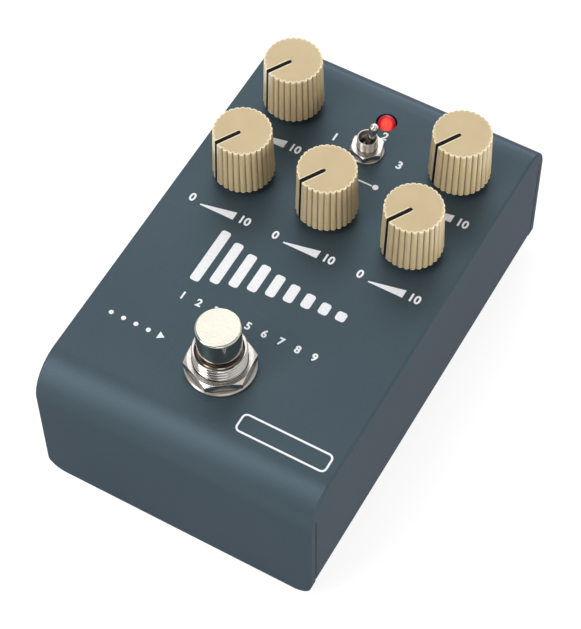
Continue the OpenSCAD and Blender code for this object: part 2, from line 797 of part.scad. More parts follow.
module pot_nuts() {
    color([0.78, 0.78, 0.8]) for (p = place_xy)
        translate([p[0], p[1], panel_z + pot_washer_t])
            hex_nut(pot_nut_af, pot_nut_t, pot_bush_r + thread_gap);
}

module pot_washers() {
    color([0.7, 0.7, 0.72]) for (p = place_xy)
        translate([p[0], p[1], panel_z]) washer(pot_washer_r, pot_bush_r + thread_gap, pot_washer_t);
}

module toggle_bushing() {
    low = toggle_body_top_z;
    top = panel_z + toggle_bush_rise;
    color([0.8, 0.8, 0.82]) translate([0, toggle_y, 0]) difference() {
        union() {
            turned(2 * top) polygon([
                [0, low], [toggle_bush_r, low], [toggle_bush_r, top - toggle_rim],
                [toggle_bush_r - toggle_rim, top], [0, top]
            ]);
            translate([0, 0, low]) linear_extrude(toggle_frame_t)
                rounded_rect(toggle_w, toggle_l, toggle_corner_r);
        }
        translate([0, 0, low - past]) cylinder(r = toggle_bore_r, h = top - low + 2 * past);
    }
}

module toggle_body() {
    foot_z = pivot_z - lever_foot_l - lever_gap;
    color([0.12, 0.2, 0.3]) translate([0, toggle_y, 0]) difference() {
        translate([0, 0, board_top_z]) linear_extrude(toggle_body_top_z - board_top_z)
            rounded_rect(toggle_w, toggle_l, toggle_corner_r);
        translate([-lever_swing, -lever_foot_r - lever_gap, foot_z])
            cube([2 * lever_swing, 2 * (lever_foot_r + lever_gap), panel_z - foot_z]);
    }
}

module toggle_nut() {
    color([0.82, 0.82, 0.84]) translate([0, toggle_y, panel_z + toggle_washer_t])
        rotate([0, 0, toggle_nut_turn])
            hex_nut(toggle_nut_af, toggle_nut_t, toggle_bush_r + thread_gap);
}

module toggle_washer() {
    color([0.76, 0.76, 0.78]) translate([0, toggle_y, panel_z])
        washer(toggle_washer_r, toggle_bush_r + thread_gap, toggle_washer_t);
}

// Bat lever: foot, ball, neck and rounded tip, turned about its own axis and thrown to the right
module toggle_lever() {
    tip_y = lever_rise - pivot_rise - lever_tip_r;
    color([0.84, 0.84, 0.86]) translate([0, toggle_y, pivot_z]) rotate([0, lever_throw, 0])
        turned(2 * lever_rise) {
            circle(ball_r);
            translate([0, -lever_foot_l + lever_foot_r]) square([lever_foot_r, lever_foot_l - lever_foot_r]);
            translate([0, -lever_foot_l + lever_foot_r]) circle(lever_foot_r);
            polygon([[0, 0], [lever_neck_r, 0], [lever_tip_r, tip_y], [0, tip_y]]);
            translate([0, tip_y]) circle(lever_tip_r);
        }
}

module footswitch_cap() {
    color([0.86, 0.86, 0.88]) translate([0, footswitch_y, 0]) turned(4 * case_h) {
        polygon([
            [0, cap_low_z], [cap_r - cap_chamfer, cap_low_z], [cap_r, cap_low_z + cap_chamfer],
            [cap_r, cap_low_z + cap_h - cap_edge_r], [0, cap_low_z + cap_h - cap_edge_r]
        ]);
        translate([0, cap_low_z + cap_chamfer]) square([cap_r - cap_edge_r, cap_h - cap_chamfer]);
        translate([cap_r - cap_edge_r, cap_low_z + cap_h - cap_edge_r]) circle(cap_edge_r);
        translate([0, stem_low_z]) square([stem_r, cap_low_z - stem_low_z + join]);
    }
}

module footswitch_bushing() {
    top = panel_z + bush_rise;
    mouth_r = cap_r + mouth_gap;
    rim_r = bush_r - bush_rim;
    color([0.8, 0.8, 0.82]) translate([0, footswitch_y, 0]) rotate_extrude() polygon([
        [stem_r + stem_gap, switch_top_z], [bush_r, switch_top_z], [bush_r, top - bush_rim],
        [rim_r, top], [rim_r - bush_lip, top], [mouth_r, top - funnel_depth],
        [mouth_r, top - mouth_depth], [stem_r + stem_gap, top - mouth_depth]
    ]);
}

module footswitch_nut() {
    color([0.82, 0.82, 0.84]) translate([0, footswitch_y, panel_z + foot_washer_t])
        rotate([0, 0, foot_nut_turn]) hex_nut(foot_nut_af, foot_nut_t, bush_r + thread_gap);
}

module footswitch_washer() {
    color([0.76, 0.76, 0.78]) translate([0, footswitch_y, panel_z])
        washer(foot_washer_r, bush_r + thread_gap, foot_washer_t);
}

module footswitch_inner_nut() {
    color([0.72, 0.72, 0.74]) translate([0, footswitch_y, switch_top_z])
        hex_nut(foot_nut_af, foot_nut_t, bush_r + thread_gap);
}

// Switch body under the bush, hollow for the stem and its return spring
module footswitch_body() {
    color([0.14, 0.14, 0.15]) translate([0, footswitch_y, 0]) difference() {
        translate([0, 0, switch_low_z]) linear_extrude(switch_h)
            rounded_rect(switch_w, switch_w, switch_corner_r);
        translate([0, 0, spring_low_z]) cylinder(r = stem_r + spring_gap, h = switch_h);
    }
}

// Points of one ring of a round wire, square to the direction dir
function ring(at, dir, r) =
    let (d = dir / norm(dir), side = cross(abs(d[2]) < 0.9 ? [0, 0, 1] : [1, 0, 0], d),
         u = side / norm(side), v = cross(d, u))
    [for (i = [0 : wire_fn - 1]) let (a = 360 * i / wire_fn) at + r * (cos(a) * u + sin(a) * v)];

// Round wire swept along the points of a path
module wire(path, r) {
    last = len(path) - 1;
    points = [for (i = [0 : last]) each ring(path[i], path[min(i + 1, last)] - path[max(i - 1, 0)], r)];
    ends = [[for (j = [wire_fn - 1 : -1 : 0]) j], [for (j = [0 : wire_fn - 1]) last * wire_fn + j]];
    sides = [for (i = [0 : last - 1], j = [0 : wire_fn - 1]) let (k = (j + 1) % wire_fn)
        each [[i * wire_fn + j, i * wire_fn + k, (i + 1) * wire_fn + k],
              [i * wire_fn + j, (i + 1) * wire_fn + k, (i + 1) * wire_fn + j]]];
    polyhedron(points, concat(ends, sides), convexity = 4);
}

// Return spring between the floor of the switch body and the stem
module footswitch_spring() {
    steps = turn_steps * spring_turns;
    low = spring_low_z + spring_wire_r;
    high = stem_low_z - spring_wire_r;
    color([0.7, 0.7, 0.72]) translate([0, footswitch_y, 0]) wire(
        [for (i = [0 : steps]) let (a = 360 * spring_turns * i / steps)
            [spring_r * cos(a), spring_r * sin(a), low + (high - low) * i / steps]],
        spring_wire_r);
}

module footswitch_lugs() {
    color([0.8, 0.76, 0.6]) for (x = [-1, 1])
        translate([(x * lug_pitch - lug_w) / 2, footswitch_y - lug_t / 2, lug_low_z])
            cube([lug_w, lug_t, lug_l]);
}

// Points of a smooth curve from a to d that leaves towards b and arrives from c
function bezier(a, b, c, d, steps) =
    [for (i = [0 : steps]) let (t = i / steps, s = 1 - t)
        s * s * s * a + 3 * s * s * t * b + 3 * s * t * t * c + t * t * t * d];

// Two wires from the footswitch's lugs up to the underside of the main board
module switch_lead() {
    color([0.55, 0.1, 0.1]) for (x = [-1, 1] * lug_pitch / 2) {
        start = [x, footswitch_y + lug_t / 2 + lead_r, lug_low_z + lug_l / 2];
        end = [x, board_front_y + lead_in, board_low_z];
        leave = start - [0, 0, lead_drop];
        arrive = end - [0, 0, lead_rise];
        wire(bezier(start, leave, arrive, end, lead_steps), lead_r);
    }
}

module lamp_lens() {
    low = board_top_z + lamp_spacer_h;
    dome_z = panel_z + lamp_rise - lamp_r;
    color([0.85, 0.1, 0.12]) translate([0, lamp_y, 0]) turned(4 * case_h) {
        translate([0, low]) square([lamp_r, dome_z - low]);
        translate([0, dome_z]) circle(lamp_r);
        translate([0, low]) square([lamp_r + 2 * lamp_gap, lamp_flange_t]);
    }
}

module lamp_spacer() {
    color([0.1, 0.1, 0.1]) translate([0, lamp_y, board_top_z]) linear_extrude(lamp_spacer_h) difference() {
        circle(lamp_r + 2 * lamp_gap);
        for (x = [-1, 1]) translate([x * lamp_r / 2, 0]) circle(lamp_lead_r);
    }
}

// Jack with a threaded nose through the rear wall and a chamber for its contact spring
module jack(x) {
    color([0.1, 0.1, 0.11]) translate([x, 0, 0]) difference() {
        union() {
            translate([0, rear_in_y - jack_l / 2, jack_board_top_z])
                linear_extrude(jack_h) rounded_rect(jack_w, jack_l, housing_corner_r);
            translate([0, 0, jack_z]) rod_y(jack_nose_r, rear_in_y - past, jack_mouth_y);
        }
        translate([0, 0, jack_z]) rod_y(jack_bore_r, jack_chamber_y, jack_mouth_y + past);
        translate([-jack_w / 2 + jack_wall, jack_chamber_y, jack_board_top_z + jack_wall])
            cube([jack_w - 2 * jack_wall, jack_chamber_l, jack_h - 2 * jack_wall]);
    }
}

module input_jack() jack(input_x);
module output_left_jack() jack(output_left_x);
module output_right_jack() jack(output_right_x);

module jack_nuts() {
    color([0.8, 0.8, 0.82]) for (x = jack_xs)
        translate([x, rear_y + jack_washer_t, jack_z]) rotate([-90, 0, 0])
            hex_nut(jack_nut_af, jack_nut_t, jack_nose_r + thread_gap);
}

module jack_washers() {
    color([0.74, 0.74, 0.76]) for (x = jack_xs)
        translate([x, rear_y, jack_z]) rotate([-90, 0, 0])
            washer(jack_washer_r, jack_nose_r + thread_gap, jack_washer_t);
}

// Bent contact spring in each jack, lying under the chamber's roof and dipping to the plug's tip
module jack_contacts() {
    roof = jack_board_top_z + jack_h - jack_wall;
    far = jack_chamber_y + past;
    near = jack_chamber_y + jack_chamber_l - past;
    dip_y = far + (near - far) / 3;
    dip = jack_h / 2 - jack_wall - jack_bore_r + contact_dip;
    color([0.8, 0.7, 0.4]) for (x = jack_xs) translate([x, 0, 0]) along_x(contact_w) polygon([
        [near, roof], [dip_y, roof - dip], [far, roof - contact_t],
        [far, roof - 2 * contact_t], [dip_y, roof - dip - contact_t], [near, roof - contact_t]
    ]);
}

module power_inlet() {
    color([0.1, 0.1, 0.11]) translate([inlet_x, 0, 0]) difference() {
        union() {
            translate([0, rear_in_y - inlet_l / 2, jack_board_top_z])
                linear_extrude(jack_h) rounded_rect(inlet_w, inlet_l, housing_corner_r);
            translate([0, 0, jack_z]) rod_y(inlet_nose_r, rear_in_y - past, rear_y);
        }
        translate([0, 0, jack_z]) rod_y(inlet_bore_r, rear_y - inlet_depth, rear_y + past);
        translate([0, 0, jack_z]) rod_y(inlet_root_r + thread_gap, rear_in_y - inlet_l - past, rear_y);
    }
}

module power_inlet_pin() {
    root = inlet_l + sheet_t - inlet_depth;
    tip = inlet_l + sheet_t - inlet_pin_back;
    color([0.82, 0.78, 0.62]) translate([inlet_x, rear_in_y - inlet_l, jack_z]) rotate([-90, 0, 0])
        rotate_extrude() polygon([
            [0, 0], [inlet_root_r, 0], [inlet_root_r, root], [inlet_pin_r, root],
            [inlet_pin_r, tip - inlet_pin_chamfer], [inlet_pin_r - inlet_pin_chamfer, tip], [0, tip]
        ]);
}

module main_board() {
    w = 2 * (inner_half_w - board_side_gap);
    l = board_rear_y - board_front_y;
    color([0.1, 0.35, 0.2]) translate([0, (board_front_y + board_rear_y) / 2, board_low_z])
        linear_extrude(board_t) rounded_rect(w, l, board_corner_r);
}

module jack_board() {
    w = 2 * (inner_half_w - board_side_gap);
    l = jack_l + jack_board_reach - board_side_gap;
    color([0.1, 0.35, 0.2]) translate([0, rear_in_y - board_side_gap - l / 2, jack_board_low_z])
        linear_extrude(board_t) rounded_rect(w, l, board_corner_r);
}

module processor_chip() {
    color([0.12, 0.12, 0.13]) translate([0, chip_y, board_low_z - chip_t])
        linear_extrude(chip_t) rounded_rect(chip_w, chip_w, chip_corner_r);
}

module signal_chips() {
    color([0.13, 0.13, 0.14]) for (x = [-1, 1] * small_chip_x)
        translate([x, chip_y, board_low_z - chip_t])
            linear_extrude(chip_t) rounded_rect(small_chip_w, small_chip_l, chip_corner_r);
}

// Capacitors hanging under the main board, with the crimp ring near the board
module filter_capacitors() {
    r = capacitor_r;
    h = capacitor_h;
    c = capacitor_crimp;
    crimp_z = h / 5;
    color([0.2, 0.22, 0.3]) for (x = [-1, 1] * knob_pitch)
        translate([x, capacitor_y, board_low_z]) mirror([0, 0, 1]) turned(2 * h) polygon([
            [0, 0], [r, 0], [r, crimp_z - c], [r - c, crimp_z], [r, crimp_z + c],
            [r, h - c], [r - c, h], [0, h]
        ]);
}

// Place of each pin of the header between the boards
module at_header_pins() {
    for (i = [0 : header_pins - 1])
        translate([(i - (header_pins - 1) / 2) * header_pitch, header_y, 0]) children();
}

// Plastic strips of the header, one on each board, with square holes for the pins
module board_header() {
    l = header_pins * header_pitch;
    hole = header_pin_w + 2 * header_gap;
    color([0.08, 0.08, 0.08]) for (z = [jack_board_top_z, board_low_z - header_strip_w]) difference() {
        translate([-l / 2, header_y - header_strip_w / 2, z]) cube([l, header_strip_w, header_strip_w]);
        at_header_pins() translate([-hole / 2, -hole / 2, z - past])
            cube([hole, hole, header_strip_w + 2 * past]);
    }
}

module board_header_pins() {
    color([0.85, 0.75, 0.4]) at_header_pins()
        translate([-header_pin_w / 2, -header_pin_w / 2, jack_board_top_z])
            cube([header_pin_w, header_pin_w, board_low_z - jack_board_top_z]);
}

case_shell();
bottom_plate();
bottom_screws();
rubber_feet();
for (i = [0 : len(PLACES) - 1]) {
    at_knob(i) knob();
    at_knob(i) pointer();
    at_knob(i) shaft();
    translate(place_xy[i]) pot();
}
pot_nuts();
pot_washers();
toggle_lever();
toggle_bushing();
toggle_nut();
toggle_washer();
toggle_body();
footswitch_cap();
footswitch_bushing();
footswitch_nut();
footswitch_washer();
footswitch_inner_nut();
footswitch_body();
footswitch_spring();
footswitch_lugs();
switch_lead();
lamp_lens();
lamp_spacer();
input_jack();
output_left_jack();
output_right_jack();
jack_nuts();
jack_washers();
jack_contacts();
power_inlet();
power_inlet_pin();
main_board();
jack_board();
processor_chip();
signal_chips();
filter_capacitors();
board_header();
board_header_pins();
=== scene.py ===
"""Looks of the delay pedal: finishes, threads, printed marks, light and camera, placed from the frame."""

import math

import bmesh
import bpy
from mathutils import Matrix, Vector


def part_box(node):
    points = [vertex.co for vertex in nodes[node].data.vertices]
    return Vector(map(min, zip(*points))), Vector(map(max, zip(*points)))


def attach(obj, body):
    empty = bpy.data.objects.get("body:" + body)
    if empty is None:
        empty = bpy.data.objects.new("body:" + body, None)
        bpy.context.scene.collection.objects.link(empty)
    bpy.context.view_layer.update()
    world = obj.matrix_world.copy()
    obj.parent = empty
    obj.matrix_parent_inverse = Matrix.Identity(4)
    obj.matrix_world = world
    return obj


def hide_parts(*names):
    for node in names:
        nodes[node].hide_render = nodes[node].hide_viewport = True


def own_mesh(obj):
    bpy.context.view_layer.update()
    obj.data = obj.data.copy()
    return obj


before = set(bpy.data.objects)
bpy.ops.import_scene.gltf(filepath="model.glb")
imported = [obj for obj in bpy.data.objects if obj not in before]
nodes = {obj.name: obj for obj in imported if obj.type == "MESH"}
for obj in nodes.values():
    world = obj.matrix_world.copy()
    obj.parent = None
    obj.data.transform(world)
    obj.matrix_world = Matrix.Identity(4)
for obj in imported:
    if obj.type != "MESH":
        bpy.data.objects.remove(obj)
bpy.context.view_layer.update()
scene = bpy.context.scene

MM = 0.001
# How far the printed ink stands above the paint
INK = 0.03 * MM
# Edges of a threaded piece that are sharper than this, in degrees, stay sharp
THREAD_SHARP = 60
# Colour and alpha of what is plain white
WHITE = (1, 1, 1, 1)


# Places taken from the frame


def middle(node):
    """Middle of a node's box."""
    low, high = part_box(node)
    return (low + high) / 2


def half_width(node):
    """Half of a node's box along X, which is the radius of a turned piece."""
    low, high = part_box(node)
    return (high.x - low.x) / 2


panel_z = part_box("case_shell")[1].z
footswitch = middle("footswitch_washer")
toggle = middle("toggle_washer")
lamp = middle("lamp_lens")
KNOBS = ("rear_left", "rear_right", "front_left", "front_middle", "front_right")


# Node tree helpers


def add(tree, kind, inputs=None, **settings):
    """New shader node, with its settings, and its inputs set to values or linked to outputs."""
    made = tree.nodes.new(kind)
    for name, value in settings.items():
        setattr(made, name, value)
    for name, value in (inputs or {}).items():
        if isinstance(value, bpy.types.NodeSocket):
            tree.links.new(value, made.inputs[name])
        else:
            made.inputs[name].default_value = value
    return made


def maths(tree, operation, *values):
    """Result of an operation on one or two numbers."""
    return add(tree, "ShaderNodeMath", dict(enumerate(values)), operation=operation).outputs["Value"]


def vector_maths(tree, operation, *values):
    """Results of an operation on one or two vectors, by the names Vector and Value."""
    return add(tree, "ShaderNodeVectorMath", dict(enumerate(values)), operation=operation).outputs


def place(tree):
    """Coordinates in metres, in the frame's own axes."""
    return add(tree, "ShaderNodeTexCoord").outputs["Object"]


def axes(tree, vector):
    """The three parts of a vector, by the names X, Y and Z."""
    return add(tree, "ShaderNodeSeparateXYZ", {"Vector": vector}).outputs


def noise(tree, scale, detail=3.0, stretch=(1, 1, 1)):
    """Noise from 0 to 1, with scale features to the metre, drawn out where the stretch is small."""
    at = add(tree, "ShaderNodeMapping", {"Vector": place(tree), "Scale": stretch}).outputs["Vector"]
    made = add(tree, "ShaderNodeTexNoise", {"Vector": at, "Scale": scale, "Detail": detail})
    return made.outputs["Fac"]


def axis_distance(tree, axis):
    """Distance in metres from an upright axis through a place."""
    level = (1, 1, 0)
    from_axis = vector_maths(tree, "SUBTRACT", place(tree), axis)["Vector"]
    flat = vector_maths(tree, "MULTIPLY", from_axis, level)["Vector"]
    return vector_maths(tree, "LENGTH", flat)["Value"]


def spread(tree, value, low, high, to_low=0.0, to_high=1.0):
    """Value mapped from low..high to the new range, and clamped to it."""
    ranges = {"Value": value, "From Min": low, "From Max": high, "To Min": to_low, "To Max": to_high}
    return add(tree, "ShaderNodeMapRange", ranges).outputs["Result"]


def wander(tree, value, to_low=0.0, to_high=1.0):
    """Noise mapped to a new range, which most of its values fill."""
    return spread(tree, value, 0.3, 0.7, to_low, to_high)


def mix(tree, share, first, second):
    """Colour between first and second."""
    first_socket, second_socket, colour_out = 6, 7, 2
    made = add(tree, "ShaderNodeMix", {"Factor": share}, data_type="RGBA")
    for socket, colour in ((first_socket, first), (second_socket, second)):
        if isinstance(colour, bpy.types.NodeSocket):
            tree.links.new(colour, made.inputs[socket])
        else:
            made.inputs[socket].default_value = (*colour, 1)
    return made.outputs[colour_out]


def bump(tree, height, depth, normal=None):
    """Normal pushed about by a height from 0 to 1, depth metres deep."""
    inputs = {"Height": height, "Distance": depth, "Strength": 1.0}
    if normal is not None:
        inputs["Normal"] = normal
    return add(tree, "ShaderNodeBump", inputs).outputs["Normal"]


def soft_edges(tree, radius):
    """Normal that rounds the sharp edges by a small radius."""
    return add(tree, "ShaderNodeBevel", {"Radius": radius}, samples=4).outputs["Normal"]


def edge_share(tree, radius):
    """1 on sharp and tightly rounded edges, 0 on flat faces, by the cosine of the normal's turn."""
    flat = 0.995
    sharp = 0.9
    face = add(tree, "ShaderNodeNewGeometry").outputs["Normal"]
    turn = vector_maths(tree, "DOT_PRODUCT", soft_edges(tree, radius), face)["Value"]
    return spread(tree, turn, flat, sharp)


def groove_share(tree, distance, closed, open_):
    """0 down in grooves and corners, 1 where the surface is open, at the given occlusion values."""
    air = add(tree, "ShaderNodeAmbientOcclusion", {"Distance": distance}, samples=8).outputs["AO"]
    return spread(tree, air, closed, open_)


def material(name, **sockets):
    """New material with a principled shader whose sockets hold the given constants."""
    made = bpy.data.materials.new(name)
    made.use_nodes = True
    shader = made.node_tree.nodes["Principled BSDF"]
    for socket, value in sockets.items():
        shader.inputs[socket.replace("_", " ")].default_value = value
    return made, made.node_tree, shader


def connect(tree, shader, **outputs):
    """Outputs linked to the shader's sockets."""
    for socket, output in outputs.items():
        tree.links.new(output, shader.inputs[socket.replace("_", " ")])


# Finishes


def plain_finish(name, first, second, scale, rough, depth, **sockets):
    """Finish that wanders between two colours, with a fine grain in its roughness and surface."""
    grain_finer = 12
    rough_swing = 0.06
    made, tree, shader = material(name, **sockets)
    patch = spread(tree, noise(tree, scale), 0.35, 0.65)
    grain = noise(tree, scale * grain_finer)
    connect(
        tree,
        shader,
        Base_Color=mix(tree, patch, first, second),
        Roughness=wander(tree, grain, rough - rough_swing, rough + rough_swing),
        Normal=bump(tree, grain, depth),
    )
    return made


def case_paint():
    """Satin slate finish with a metallic sheen, a fine powder grain and faint clouds."""
    dark = (0.057, 0.082, 0.098)
    pale = (0.062, 0.087, 0.104)
    speck_colour = (0.12, 0.15, 0.17)
    sheen = {"Metallic": 0.45, "Specular_IOR_Level": 0.005, "Specular_Tint": (0.44, 0.38, 0.42, 1)}
    made, tree, shader = material("case_satin", **sheen)
    cloud = wander(tree, noise(tree, 35, 4))
    speck = spread(tree, noise(tree, 3200, 1), 0.62, 0.75, 0.0, 0.2)
    grain = noise(tree, 5200, 2)
    connect(
        tree,
        shader,
        Base_Color=mix(tree, speck, mix(tree, cloud, dark, pale), speck_colour),
        Roughness=wander(tree, grain, 0.35, 0.42),
        Normal=bump(tree, grain, 0.004 * MM),
    )
    return made


def rim_highlight_share(tree):
    """1 on the rims round the tops of the knobs, where a highlight is painted."""
    reach = 0.6 * MM
    starts_below = 0.9 * MM
    full_below = 0.5 * MM
    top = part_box("knob_" + KNOBS[0])[1].z
    near_top = spread(tree, axes(tree, place(tree))["Z"], top - starts_below, top - full_below)
    return maths(tree, "MULTIPLY", edge_share(tree, reach), near_top)


def knob_cream():
    """Moulded cream plastic, paler on its edges and rims as painted highlights, and darker and yellower
    down in the grooves as painted shade.
    """
    dark = (0.480, 0.366, 0.194)
    pale = (0.515, 0.400, 0.217)
    # Pale edge and rim colours are painted highlights; the dark groove colour is painted shade
    edge_highlight = (0.96, 0.88, 0.68)
    rim = (0.98, 0.87, 0.60)
    groove_shade_tone = (0.17, 0.105, 0.035)
    gloss = {"Specular_IOR_Level": 0.3, "Coat_Weight": 0.6, "Coat_Roughness": 0.06}
    made, tree, shader = material("moulded_cream", **gloss)
    body = mix(tree, wander(tree, noise(tree, 160)), dark, pale)
    # Painted highlights on the edges and rims, painted shade down in the grooves
    body = mix(tree, edge_share(tree, 0.4 * MM), body, edge_highlight)
    body = mix(tree, rim_highlight_share(tree), body, rim)
    body = mix(tree, groove_share(tree, 0.6 * MM, 0.4, 0.85), groove_shade_tone, body)
    grain = noise(tree, 2600, 2)
    connect(
        tree,
        shader,
        Base_Color=body,
        Roughness=wander(tree, grain, 0.28, 0.36),
        Normal=bump(tree, grain, 0.002 * MM, soft_edges(tree, 0.15 * MM)),
    )
    return made


def turned_rings(tree, axis, normal):
    """Normal with the fine rings that a lathe leaves round an upright axis."""
    radians_to_metre = 26000.0
    wave = maths(tree, "SINE", maths(tree, "MULTIPLY", axis_distance(tree, axis), radians_to_metre))
    return bump(tree, spread(tree, wave, -1, 1), 0.0006 * MM, normal)


def nickel(name, rough, shade, axis=None, groove_shade=None):
    """Nickel plate of a shade, with fine wear; where an axis is given, with turned rings round it,
    and where a colour of painted shade is given, with it down in the grooves."""
    dimmest = 0.94
    smoother = 0.03
    rougher = 0.05
    made, tree, shader = material(name, Metallic=1.0)
    scratch = noise(tree, 700, 2, (1, 6, 1))
    normal = bump(tree, scratch, 0.0008 * MM, soft_edges(tree, 0.08 * MM))
    if axis is not None:
        normal = turned_rings(tree, axis, normal)
    plate = mix(tree, wander(tree, noise(tree, 220)), [dimmest * c for c in shade], shade)
    # Painted shade: the given colour darkens grooves and corners, by occlusion
    if groove_shade is not None:
        plate = mix(tree, groove_share(tree, 0.6 * MM, 0.35, 0.75), groove_shade, plate)
    connect(
        tree,
        shader,
        Base_Color=plate,
        Roughness=wander(tree, scratch, rough - smoother, rough + rougher),
        Normal=normal,
    )
    return made


def lamp_red():
    """Lit red lens, brightest a little in front of its middle, and darkened towards its rear, in colour
    and glow, as painted shade.
    """
    core_red = (1.0, 0.085, 0.06)
    core_haze = (1.0, 0.12, 0.09)
    ring_red = (0.45, 0.004, 0.014)
    rear_glow_shade = (0.05, 0.008, 0.012)
    lens_red = (0.35, 0.005, 0.01)
    lens_rear_shade = (0.10, 0.02, 0.024)
    core_shift = Vector((0.25, -0.5, 0))
    lit = {"Roughness": 0.3, "Specular_IOR_Level": 0.1, "Emission_Strength": 1.0}
    made, tree, shader = material("lamp_lit_red", **lit)
    dome = 0.75 * half_width("lamp_lens")
    from_core = axis_distance(tree, lamp + core_shift * dome)
    ring = spread(tree, from_core, 0.45 * dome, 0.7 * dome)
    # Mask of the painted shade towards the lens's rear
    rear = spread(tree, from_core, 0.7 * dome, 1.15 * dome)
    core = mix(tree, wander(tree, noise(tree, 900), 0.0, 0.15), core_red, core_haze)
    glow = mix(tree, ring, core, ring_red)
    connect(
        tree,
        shader,
        Base_Color=mix(tree, rear, lens_red, lens_rear_shade),
        Emission_Color=mix(tree, rear, glow, rear_glow_shade),
    )
    return made


def white_ink():
    """Screen-printed white with a slightly uneven film."""
    thin = (0.74, 0.76, 0.79)
    full = (0.84, 0.85, 0.87)
    made, tree, shader = material("white_ink")
    film = noise(tree, 1800, 2)
    connect(
        tree,
        shader,
        Base_Color=mix(tree, spread(tree, film, 0.25, 0.5), thin, full),
        Roughness=wander(tree, film, 0.42, 0.55),
        Normal=bump(tree, film, 0.003 * MM),
    )
    return made


# Colour of the painted shade down in the grooves of nickel parts
GROOVE_SHADE = (0.09, 0.075, 0.065)
bright_nickel = nickel("bright_nickel", 0.12, (0.60, 0.575, 0.54), groove_shade=GROOVE_SHADE)
cap_nickel = nickel("turned_nickel", 0.12, (0.535, 0.515, 0.45), middle("footswitch_cap"))
nut_nickel = nickel("satin_nickel", 0.22, (0.59, 0.56, 0.53), groove_shade=GROOVE_SHADE)
# Washers: a duller finish, and a darker colour that is painted shade under the nuts
washer_shaded_nickel = nickel("dull_shaded_nickel", 0.34, (0.44, 0.41, 0.38), groove_shade=GROOVE_SHADE)
thread_nickel = nickel("threaded_nickel", 0.16, (0.56, 0.53, 0.50), groove_shade=GROOVE_SHADE)
# Dark nickel for the inside of the footswitch bush's mouth: painted shade
mouth_shade_nickel = nickel("shaded_nickel", 0.36, (0.19, 0.15, 0.125))
toggle_nickel = nickel("clean_nickel", 0.16, (0.62, 0.59, 0.56))
bush_nickel = nickel("fine_thread_nickel", 0.32, (0.60, 0.57, 0.54), groove_shade=GROOVE_SHADE)
ink = white_ink()

# Shader settings of common, metal and dull finishes
COMMON = {}
METAL = {"Metallic": 1.0}
DULL = {"Specular_IOR_Level": 0.1}
# Plain finishes by material slot: two colours, features to the metre, roughness, grain in mm, settings
PLAIN = {
    "plate_paint": ((0.045, 0.05, 0.055), (0.055, 0.06, 0.066), 300, 0.5, 0.006, COMMON),
    "screw_steel": ((0.50, 0.50, 0.51), (0.60, 0.60, 0.61), 500, 0.3, 0.002, METAL),
    "foot_rubber": ((0.018, 0.018, 0.019), (0.03, 0.03, 0.031), 250, 0.8, 0.02, COMMON),
    "pointer_black": ((0.004, 0.004, 0.005), (0.008, 0.008, 0.009), 700, 0.6, 0.004, DULL),
    "shaft_metal": ((0.62, 0.62, 0.63), (0.70, 0.70, 0.71), 600, 0.3, 0.002, METAL),
    "pot_case": ((0.03, 0.033, 0.036), (0.045, 0.048, 0.05), 300, 0.5, 0.004, COMMON),
    "toggle_case": ((0.02, 0.05, 0.09), (0.03, 0.06, 0.10), 300, 0.5, 0.004, COMMON),
    "switch_case": ((0.02, 0.02, 0.022), (0.03, 0.03, 0.032), 300, 0.5, 0.004, COMMON),
    "spring_steel": ((0.52, 0.52, 0.53), (0.60, 0.60, 0.61), 600, 0.28, 0.001, METAL),
    "contact_brass": ((0.72, 0.52, 0.22), (0.80, 0.60, 0.30), 500, 0.3, 0.001, METAL),
    "lead_insulation": ((0.26, 0.012, 0.012), (0.33, 0.02, 0.02), 300, 0.45, 0.003, COMMON),
    "spacer_black": ((0.012, 0.012, 0.012), (0.02, 0.02, 0.02), 300, 0.6, 0.003, COMMON),
    "socket_black": ((0.012, 0.012, 0.013), (0.02, 0.02, 0.021), 350, 0.42, 0.004, COMMON),
    "board_green": ((0.012, 0.09, 0.04), (0.02, 0.12, 0.055), 220, 0.4, 0.004, COMMON),
    "chip_black": ((0.015, 0.015, 0.016), (0.022, 0.022, 0.023), 400, 0.6, 0.004, COMMON),
    "capacitor_can": ((0.05, 0.06, 0.10), (0.06, 0.07, 0.12), 300, 0.4, 0.002, COMMON),
}
FINISHES = {
    "case_paint": case_paint(),
    "knob_cream": knob_cream(),
    "nickel": bright_nickel,
    "lamp_red": lamp_red(),
}
for slot_name, (first, second, scale, rough, grain_mm, settings) in PLAIN.items():
    FINISHES[slot_name] = plain_finish(slot_name, first, second, scale, rough, grain_mm * MM, **settings)


def dress_nodes():
    """Every node of the frame takes the finish of its material slot."""
    for node in nodes.values():
        for holder in node.material_slots:
            holder.material = FINISHES[holder.material.name]
    nodes["footswitch_cap"].material_slots[0].material = cap_nickel
    nodes["toggle_lever"].material_slots[0].material = toggle_nickel
    for name in ("footswitch", "toggle"):
        nodes[name + "_nut"].material_slots[0].material = nut_nickel
        nodes[name + "_washer"].material_slots[0].material = washer_shaded_nickel


# Outlines


def rounded_box(x, y, width, height, radius, steps=6):
    """Outline of a box with round corners, round a middle."""
    points = []
    for side_x, side_y, start in ((1, 1, 0), (-1, 1, 90), (-1, -1, 180), (1, -1, 270)):
        corner_x = x + side_x * (width / 2 - radius)
        corner_y = y + side_y * (height / 2 - radius)
        for i in range(steps + 1):
            angle = math.radians(start + 90 * i / steps)
            points.append((corner_x + radius * math.cos(angle), corner_y + radius * math.sin(angle)))
    return points


def dot(x, y, radius, steps=24):
    """Outline of a round dot."""
    turns = [math.tau * i / steps for i in range(steps)]
    return [(x + radius * math.cos(turn), y + radius * math.sin(turn)) for turn in turns]


def bridge(shape, first, second):
    """Faces between two closed rows with the same number of vertices."""
    count = len(first)
    for i in range(count):
        j = (i + 1) % count
        shape.faces.new((first[i], first[j], second[j], second[i]))


